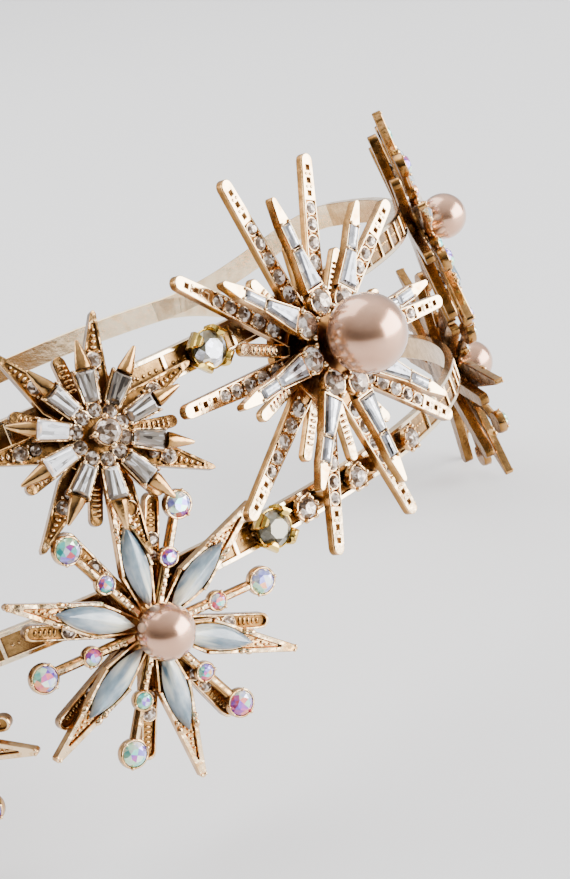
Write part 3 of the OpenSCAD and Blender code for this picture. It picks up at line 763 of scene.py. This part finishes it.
for name, star in OPAL_STARS.items():
    stones = Work()
    for ray in range(opal_back_rays):
        stones.at = turned(opal_back_turn + 360 / opal_back_rays * ray, "Z")
        for x, d, girdle, crown, pavilion in OPAL_BACK_STONES:
            brilliant(stones, d, x, girdle, crown, pavilion)
    make_piece(name + "_back_stones", stones, star_place(*star), clear_stone, "clear_glass",
               name + "_pave", flat=True)

# The baguette star's back: seven long V-shaped rays with two clear stones and four grains each,
# and seven short ridged rays between them, cast in one. The ray that crosses the opal star beside
# it has no outer stone.

BAGUETTE_STAR = (-26.5, 22.3, 5.3, 10.4, -28.2)
baguette_place = star_place(*BAGUETTE_STAR)
_, baguette_high, _, _, baguette_roll = BAGUETTE_STAR
v_rays = 7
v_turn = 93.6
v_tip = 17.4
crossing_ray = 4
outer_stone_x = 10.6
outer_stone_d = 2.0
inner_stone_x = 8.4
inner_stone_d = 1.6
rays = Work()
stones = Work()
posts(rays, baguette_roll, [(0, strand_rise - baguette_high)])
rays.lathe([(4.8, casting_back), (5, -0.8), (5, 0.6), (4.9, 0.7), (0.5, 0.7)],
           [0.3, 0.4, 0.6, 0.6, 0.5], 40)
outline = mirrored([(v_tip, 0.1), (17, 0.4), (7.5, 2.1), (3, 1.2)])
hollow = mirrored([(15.6, 0.22), (7.6, 1.75), (5.2, 1.2)])
for ray in range(v_rays):
    rays.at = turned(v_turn + 360 / v_rays * ray, "Z")
    # The back rays are painted darker than the other stars' backs: painted shade behind the star's
    # front
    rays.plate(outline, casting_back, 0.3, 0.1, (0.2, 0.25))
    rays.plate(outline, 0.1, 0.75, 0.09, (0.25, 0.85), [hollow])
    stone_collar(rays, outer_stone_x, outer_stone_d / 2, 0.2, 0.74)
    for grain in range(4):
        rays.bead((12.3 + 0.8 * grain, 0, 0.42), 0.3, 0.6 - 0.11 * grain, 0.36, 1.0, 8)
    for side in (-1, 1):
        rays.bead((9.4, 0.75 * side, 0.7), 0.24)
        rays.bead((11.75, 0.7 * side, 0.7), 0.22)
    stones.at = rays.at
    if ray != crossing_ray:
        brilliant(stones, outer_stone_d, outer_stone_x, 0.7, 0.4, 0.5)
    brilliant(stones, inner_stone_d, inner_stone_x, 0.66, 0.34, 0.4)
    rays.at = turned(v_turn + 360 / v_rays * (ray + 0.5), "Z")
    rays.plate(round_ended(3, 12, 1, 0.9), casting_back, 0.55, 0.12, (0.2, 0.6))
    for rib in range(6):
        rays.bead((6.9 + 0.72 * rib, 0, 0.5), 0.32, 0.7, 0.24, 0.85, 8)
make_piece("baguette_star_back_rays", rays, baguette_place, rose_gold, "rose_gold",
           "baguette_star_back")
make_piece("baguette_star_back_stones", stones, baguette_place, clear_stone, "clear_glass",
           "baguette_star_pave", flat=True)

# The baguette star's front: ten open channels round a post, each with a tapered baguette, a small
# round stone inside it and a polished point beyond it. The post carries a cup with four ball
# prongs for the centre crystal.

channel_step = 36
channel_end = 9.2
floor_z = 2.55
baguette_from = 4.5
baguette_to = 8.8
round_stone_x = 3.4
round_stone_d = 1.9
point_from = 9.05
centre_crystal_d = 3.4
cup_r = 1.9
# How bright the painted reflection of the foil is in each baguette, anticlockwise from the one
# at the right
BAGUETTE_REFLECTIONS = (-0.05, 0.1, -0.2, 0.02, 0.2, 0.8, 0.6, 0.05, 0.2, 0.08)
ice_stone = foiled_glass("clear_baguette_glass", (0.03, 0.024, 0.02), (0.28, 0.245, 0.21),
                         (0.95, 0.96, 1.0), 0.4, 1.0, (0.6, 1.8, 1))


def step_cut(work, start, end, half_start, half_end, low, girdle, top, foil_reflection):
    """A baguette along x. The table is drawn in three strips for the bands that show through it,
    and the last argument sets how bright the painted reflection of the foil is in this stone."""
    step = min(half_start, half_end) * 0.3

    def ring(cut, height):
        a, b = half_start - cut, half_end - cut
        xs, xe = start + cut, end - cut
        return [(xs, -a, height), (xe, -b, height), (xe, -b / 3, height), (xe, b / 3, height),
                (xe, b, height), (xs, a, height), (xs, a / 3, height), (xs, -a / 3, height)]

    levels = [ring(1.6 * step, low), ring(0, girdle - 0.05), ring(0, girdle + 0.05),
              ring(0.75 * step, (girdle + top) / 2 + 0.12), ring(1.7 * step, top)]
    bottom = list(range(7, -1, -1))
    table_strips = [[32, 33, 34, 39], [39, 34, 35, 38], [38, 35, 36, 37]]
    facets = []
    for _ in levels[1:]:
        ends = luck.random()
        facets += [luck.random(), ends, ends, ends, luck.random(), 1 - ends, 1 - ends, 1 - ends]
    centre = luck.choice((0.05, 0.3, 0.95))
    facets += [0.2, 0.8 - centre * 0.6, centre, 1 - centre]
    work.add([p for level in levels for p in level],
             bands(8, len(levels)) + [bottom] + table_strips, [0.5] * 40,
             [min(1, max(0.01, 0.75 * value + foil_reflection)) for value in facets])


channels = Work()
baguettes = Work()
small = Work()
crystal = Work()
# The disc and the foot of the post are painted dark: painted shade under the centre crystal
channels.lathe([(2.6, 0.5), (2.6, floor_z), (4.3, floor_z + 0.05), (4.3, floor_z + 0.3),
                (1.6, floor_z + 0.35), (1.6, floor_z + 3.1), (cup_r, floor_z + 3.4),
                (cup_r, floor_z + 3.8)],
               [0.2, 0.1, 0.1, 0.1, 0.05, 0.3, 0.6, 0.7], 32)
channel_floor = mirrored([(channel_end, 1.6), (1.5, 0.6)])
wall = [(4.4, 1.0), (8.9, 1.42), (channel_end, 1.42), (channel_end, 1.7), (4.4, 1.28)]
for ray, foil_reflection in enumerate(BAGUETTE_REFLECTIONS):
    channels.at = turned(channel_step * ray, "Z")
    channels.plate(channel_floor, floor_z, floor_z + 0.35, 0.08, (0.25, 0.3))
    for side in (-1, 1):
        channels.plate(flipped(wall) if side < 0 else wall, floor_z + 0.1, floor_z + 1.2, 0.07,
                       (0.3, 1.0))
        channels.bead((4.35, 0.85 * side, floor_z + 1.35), 0.33, wear_and_light=1.0)
        channels.bead((8.75, 1.42 * side, floor_z + 1.35), 0.3, 0.24, 0.34, 1.0)
    stone_collar(channels, round_stone_x, round_stone_d / 2, floor_z + 0.3, floor_z + 0.95)
    # Each point is painted darker at its base than at its tip: painted shading along it
    channels.lathe([(0.95, 0), (1.14, 0.1), (1.12, 0.6), (0.92, 1.5), (0.55, 2.9), (0.26, 3.9),
                    (0.06, 4.05)], [0.4, 0.55, 0.64, 0.72, 0.82, 0.9, 0.9], 20,
                   (point_from, 0, floor_z + 1.1), turned(90, "Y"))
    baguettes.at = small.at = channels.at
    step_cut(baguettes, baguette_from, baguette_to, 0.96, 1.36,
             floor_z + 0.4, floor_z + 1.3, floor_z + 2.1, foil_reflection)
    brilliant(small, round_stone_d, round_stone_x, floor_z + 1, 0.4, 0.6)
channels.at = Matrix()
channels.lathe([(cup_r, floor_z + 3.7), (1.92, floor_z + 4.55), (1.85, floor_z + 4.62),
                (1.76, floor_z + 4.55)], [0.5, 0.9, 1, 0.7], 24)
for prong in range(4):
    channels.at = turned(20 + 90 * prong, "Z")
    channels.lathe([(0.3, floor_z + 3.2), (0.35, floor_z + 4.6), (0.3, floor_z + 4.9)],
                   [0.5, 0.9, 1], 12, (2.1, 0, 0))
    channels.bead((2.0, 0, floor_z + 5.1), 0.46, wear_and_light=1.0)
brilliant(crystal, centre_crystal_d, 0, floor_z + 4.7, 0.85, 0.8)
make_piece("baguette_star_channels", channels, baguette_place, rose_gold, "rose_gold",
           "baguette_star_front")
make_piece("baguette_star_inner_stones", small, baguette_place, clear_stone, "clear_glass",
           "baguette_star_round_stones", flat=True)
make_piece("baguette_star_stones", baguettes, baguette_place, ice_stone, "clear_glass",
           "baguette_star_baguettes", flat=True)
make_piece("baguette_star_centre", crystal, baguette_place, clear_stone, "clear_glass",
           "baguette_star_crystal", flat=True)

# The large burst's bars: ten long bars with polished round ends, each pierced by three square
# holes and set with five clear stones that grow towards the centre, and ten short ridged rays
# between them. The hub is soldered to the upper strand and two bars to the lower one.

BURST = (0.0, 19.1, 0.7, -0.1, -40.6)
burst_place = star_place(*BURST)
_, burst_high, _, _, burst_roll = BURST
bar_count = 10
bar_step = 36
bar_tip = 29.2
bar_top = 1.7
soldered_bars = (-1, -2)
# Columns: distance from the centre, diameter
BAR_STONES = ((21.1, 1.8), (18.7, 2.0), (16, 2.2), (13.1, 2.35), (10.1, 2.5))
BAR_HOLES = (27.1, 25.2, 23.3)
hole_half = 0.36
innermost_grain = 7.6
# From a hollow to a raised top: dark patina with painted shade, up to rubbed metal with painted
# highlight
bar_ramp = ((0.0, (0.07, 0.028, 0.006)), (0.44, (0.34, 0.17, 0.05)),
            (0.86, (0.74, 0.44, 0.18)), (1.0, (0.97, 0.73, 0.45)))
bar_gold = plated_finish("polished_rose_gold", bar_ramp, 1300.0, 0.3)
bars = Work()
stones = Work()
post_places = [(0, strand_rise - burst_high)]
for bar in soldered_bars:
    slope = math.tan(math.radians(bar_step * bar + burst_roll))
    post_places.append((-burst_high / slope, -burst_high))
posts(bars, burst_roll, post_places, 0.5)
# The hub is painted darker towards the middle: painted shade under the raised rays and pearl
bars.lathe([(8.8, casting_back), (9, -0.8), (9, 0.6), (8.9, 0.7), (7, 0.75), (7, 1.6), (6.9, 1.7),
            (0.5, 1.7)], [0.3, 0.4, 0.4, 0.2, 0.15, 0.2, 0.2, 0.1], 48)
outline = round_ended(3, bar_tip, 1.75, 1.05)
trough = mirrored([(22.2, 0.93), (7.2, 1.34)])
holes = [mirrored([(r + hole_half, hole_half), (r - hole_half, hole_half)]) for r in BAR_HOLES]
for bar in range(bar_count):
    bars.at = turned(bar_step * bar, "Z")
    bars.plate(outline, 0.4, bar_top - 0.3, 0.1, (0.25, 0.5), holes)
    bars.plate(outline, bar_top - 0.45, bar_top, 0.09, (0.6, 1.0), holes + [trough])
    for r in (26.15, 24.25):
        for side in (-1, 1):
            bars.bead((r, 0.4 * side, bar_top), 0.24, 0.26, 0.14, 1.0, 8)
    for (x, d), (inner, _) in zip(BAR_STONES, BAR_STONES[1:] + ((innermost_grain, 0),)):
        stone_collar(bars, x, d / 2 - 0.05, bar_top - 0.5, bar_top - 0.05)
        for side in (-1, 1):
            bars.bead(((x + inner) / 2, (1.1 - 0.017 * x) * side, bar_top + 0.02),
                      0.3, 0.26, 0.28, 1.0, 8)
    stones.at = bars.at
    for x, d in BAR_STONES:
        brilliant(stones, d, x, bar_top - 0.1, 0.55, 0.8)
    bars.at = turned(bar_step * (bar + 0.5), "Z")
    bars.plate(round_ended(3, 16.5, 1, 0.9), 0.4, bar_top - 0.1, 0.16, (0.25, 1.0))
    for rib in range(6):
        bars.bead((9.6 + 0.85 * rib, 0, bar_top - 0.15), 0.32, 0.72, 0.36, 1.0, 8)
make_piece("burst_long_bars", bars, burst_place, bar_gold, "rose_gold", "burst_bars")
make_piece("burst_bar_stones", stones, burst_place, clear_stone, "clear_glass", "burst_pave",
           flat=True)

# The burst's eight upper rays: a round stone in ball prongs nearest the pearl, then a tapered
# baguette, a small baguette, and a narrow polished tip. They and the pearl on its peg are raised
# a little and tilted upwards, as in the photo.

upper_rays = 8
upper_turn = 43.6
upper_tip = 22.6
upper_back = 3
upper_top = 4.5
upper_tilt = -4
upper_shift = (0, 0.8, 1.2)
# Columns: start, end, half width at the start, half width at the end, top, brightness of the
# painted reflection
RAY_BAGUETTES = ((8.75, 14.35, 1.5, 0.78, 5.1, -0.02), (14.85, 18.35, 0.78, 0.78, 5.0, 0.0))
ray_stone_x = 6.4
ray_stone_d = 3.7
burst_pearl_r = 5.8
burst_pearl_z = 9.8
pale_stone = foiled_glass("pale_baguette_glass", (0.03, 0.026, 0.024), (0.36, 0.37, 0.41),
                          (0.95, 0.96, 1.0), 0.4, 1.0, (1.1, 1.5, 1))
raised = (turned(-burst_roll, "Z") @ Matrix.Translation(upper_shift) @ turned(upper_tilt, "X")
          @ turned(burst_roll, "Z"))
upper_place = burst_place @ raised
rays = Work()
baguettes = Work()
stones = Work()
rays.at = raised.inverted()
# A dark column under the pearl: painted shade beneath it
rays.lathe([(4.5, 1.6), (4.5, 4.4)], [0.05, 0.1], 40)
rays.at = Matrix()
rays.lathe([(5, 2.95), (5.4, 3.1), (5.4, 3.4), (2.6, 3.5), (2.5, 3.9), (1, 4.2)],
           [0.1, 0.2, 0.2, 0.1, 0.2, 0.2], 40)
point = [(upper_tip, 0.15), (22.3, 0.45), (18.5, 1.1), (14.6, 1.1)]
floor = mirrored(point + [(8.6, 1.9), (4, 1.3)])
frame_outline = mirrored(point + [(8.3, 1.9)])
frame_holes = [mirrored([(14.5, 0.86), (8.6, 1.62)]), mirrored([(18.45, 0.86), (14.7, 0.86)])]
for ray in range(upper_rays):
    rays.at = turned(upper_turn + 360 / upper_rays * ray, "Z")
    rays.plate(floor, upper_back, upper_back + 0.5, 0.1, (0.25, 0.4))
    rays.plate(frame_outline, 3.3, upper_top, 0.09, (0.35, 1.0), frame_holes)
    setting_cup(rays, ray_stone_x, ray_stone_d / 2, 3.2, 4.45, ())
    for prong in range(4):
        a = math.radians(45 + 90 * prong)
        rays.bead((ray_stone_x + 2.05 * math.cos(a), 2.05 * math.sin(a), upper_top + 0.1), 0.48,
                  wear_and_light=1.0)
    for x, y in ((14.6, 0.82), (18.6, 0.75)):
        for side in (-1, 1):
            rays.bead((x, y * side, upper_top + 0.05), 0.3, wear_and_light=1.0)
    baguettes.at = stones.at = rays.at
    for start, end, half_start, half_end, top, foil_reflection in RAY_BAGUETTES:
        step_cut(baguettes, start, end, half_start, half_end, 3.5, 4.4, top, foil_reflection)
    brilliant(stones, ray_stone_d, ray_stone_x, 4.4, 0.75, 0.85)
make_piece("burst_upper_rays", rays, upper_place, bar_gold, "rose_gold", "burst_rays")
make_piece("burst_baguette_stones", baguettes, upper_place, pale_stone, "clear_glass",
           "burst_baguettes", flat=True)
make_piece("burst_ray_stones", stones, upper_place, clear_stone, "clear_glass",
           "burst_round_stones", flat=True)
pearl("burst_round_pearl", burst_pearl_r, burst_pearl_z, upper_place, "burst_pearl")

# The two claw-set crystals between the stars: round stones in yellow gold plated cups with four
# bent claws, soldered to the strands.

link_crystal_d = 5.3
# Columns: strand, azimuth, height of the strand, brightness of the painted reflection of the foil
# behind the table
LINK_CRYSTALS = (("upper", -12.6, strand_rise, 0.7), ("lower", -13, 0, 0.42))
# Columns: distance from the stone's axis, half thickness, half width, height, rise outwards
CLAW = ((2.75, 0.2, 1.3, 1.2, 0), (2.95, 0.22, 1.25, 2.3, 0), (3.02, 0.26, 1.12, 3.1, 0.1),
        (2.82, 0.28, 0.9, 3.6, 0.3), (2.4, 0.22, 0.6, 3.85, 0.3), (2.1, 0.1, 0.36, 3.85, 0.2))
# From a hollow to a raised top: dark patina with painted shade, up to rubbed metal with painted
# highlight
claw_ramp = ((0.0, (0.05, 0.026, 0.003)), (0.40, (0.30, 0.17, 0.02)),
             (0.75, (0.64, 0.40, 0.06)), (1.0, (0.86, 0.60, 0.15)))
claw_gold = plated_finish("yellow_gold_plating", claw_ramp, 1200.0, 0.8)
# Clear glass whose facets carry painted reflections, grey olive to pale blue white
link_glass = foiled_glass("clear_link_glass", (0.06, 0.05, 0.03), (0.24, 0.225, 0.165),
                           (0.74, 0.77, 0.90), 0.45, 1.0)
for name, az, height, foil in LINK_CRYSTALS:
    place = stance @ on_strand(az, height)
    setting = Work()
    setting.lathe([(2.1, 0.05), (2.2, 0.9), (2.9, 2.3), (2.9, 2.45), (2.75, 2.5), (2.6, 2.4),
                   (2.0, 1.2)], [0.2, 0.4, 0.7, 0.9, 0.9, 0.5, 0.2], 32)
    for claw in range(4):
        setting.at = turned(45 + 90 * claw, "Z")
        setting.loft([[(x - t, -w, z), (x + t, -w, z + lift), (x + t, w, z + lift), (x - t, w, z)]
                      for x, t, w, z, lift in CLAW], [0.4, 0.6, 0.8, 1, 1, 1])
    make_piece("link_cup_" + name, setting, place, claw_gold, "yellow_gold_claws",
               "link_setting_" + name)
    crystal = Work()
    brilliant(crystal, link_crystal_d, 0, 2.5, 1.15, 1.35, 8, foil)
    make_piece("link_stone_" + name, crystal, place, link_glass, "clear_glass",
               "link_crystal_" + name, flat=True)

# The three small crystals on the lower strand under the burst: clear stones in rose gold cups
# with six ball prongs each, soldered to the strand.

small_crystal_d = 3.2
SMALL_CRYSTAL_AZIMUTHS = (-8.2, -0.5, 10)
settings = Work()
crystals = Work()
for az in SMALL_CRYSTAL_AZIMUTHS:
    settings.at = crystals.at = on_strand(az, 0)
    settings.lathe([(1.4, 0.05), (1.5, 0.4), (1.9, 0.7), (1.95, 1.5), (1.85, 1.6), (1.7, 1.6),
                    (1.6, 1.4), (1.2, 0.6)], [0.2, 0.3, 0.6, 0.9, 1, 0.9, 0.5, 0.2], 24)
    brilliant(crystals, small_crystal_d, 0, 1.5, 0.8, 0.85)
    for prong in range(6):
        settings.at = on_strand(az, 0) @ turned(60 * prong, "Z")
        settings.bead((1.86, 0, 1.6), 0.42, wear_and_light=1.0)
make_piece("small_crystal_cups", settings, stance, rose_gold, "rose_gold", "link_small_settings")
make_piece("small_crystal_stones", crystals, stance, clear_stone, "clear_glass",
           "link_small_crystals", flat=True)
